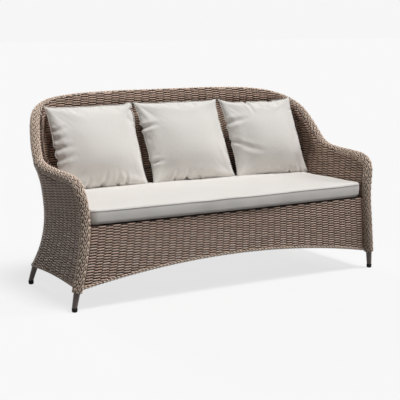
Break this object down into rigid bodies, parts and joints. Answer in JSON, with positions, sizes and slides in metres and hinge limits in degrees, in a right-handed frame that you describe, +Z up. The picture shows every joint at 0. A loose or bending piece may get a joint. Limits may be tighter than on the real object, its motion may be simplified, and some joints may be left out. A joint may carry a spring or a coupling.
{
  "type": "rattan garden sofa",
  "caption": "Garden sofa with a curved woven body on short legs, a plaited border over the back and arms, a loose seat cushion and loose scatter cushions.",
  "frame": {"origin": "on the floor, under the middle of the sofa's outline", "axes": "+X along the seat to the right as seen from the front, -Y to the front where people sit down, +Z up"},
  "size_m": [1.6856, 0.7513, 0.91],
  "materials": {
    "frame": "powder coated, satin",
    "leg": "powder coated, satin",
    "weave": "round synthetic rattan, mottled taupe",
    "plait": "plaited synthetic rattan, lighter taupe",
    "cushion": "woven outdoor fabric, warm light grey",
    "glide": "black moulded glide"
  },
  "bodies": {
    "frame": {"left_front_post_tube": "frame", "left_front_post_border": "plait", "left_arm_tube": "frame", "left_arm_border": "plait", "right_front_post_tube": "frame", "right_front_post_border": "plait", "right_arm_tube": "frame", "right_arm_border": "plait", "back_rail_tube": "frame", "back_rail_border": "plait", "left_rear_upright": "frame", "left_back_upright": "frame", "right_rear_upright": "frame", "right_back_upright": "frame", "front_left_leg": "leg", "front_left_glide": "glide", "rear_left_leg": "leg", "rear_left_glide": "glide", "front_right_leg": "leg", "front_right_glide": "glide", "rear_right_leg": "leg", "rear_right_glide": "glide", "front_hem_rod": "frame", "front_hem": "plait", "rear_hem_rod": "frame", "rear_hem": "plait", "left_hem_rod": "frame", "left_hem": "plait", "right_hem_rod": "frame", "right_hem": "plait", "left_side_weave": "weave", "right_side_weave": "weave", "back_weave": "weave", "front_weave": "weave", "front_seat_rail": "frame", "left_seat_rail": "frame", "right_seat_rail": "frame", "rear_seat_rail": "frame", "seat_cross_bar_1": "frame", "seat_cross_bar_2": "frame", "seat_cross_bar_3": "frame", "seat_deck": "weave"},
    "seat_cushion": {"seat_cushion": "cushion"},
    "left_back_cushion": {"left_back_cushion": "cushion"},
    "middle_back_cushion": {"middle_back_cushion": "cushion"},
    "right_back_cushion": {"right_back_cushion": "cushion"}
  },
  "joints": [
    {"name": "seat_cushion_lift", "type": "slide", "parent": "frame", "child": "seat_cushion", "axis": [0, 0, 1], "range_m": [0, 0.25]},
    {"name": "left_back_cushion_lift", "type": "slide", "parent": "seat_cushion", "child": "left_back_cushion", "axis": [0, 0, 1], "range_m": [0, 0.3]},
    {"name": "middle_back_cushion_lift", "type": "slide", "parent": "seat_cushion", "child": "middle_back_cushion", "axis": [0, 0, 1], "range_m": [0, 0.3]},
    {"name": "right_back_cushion_lift", "type": "slide", "parent": "seat_cushion", "child": "right_back_cushion", "axis": [0, 0, 1], "range_m": [0, 0.3]}
  ]
}
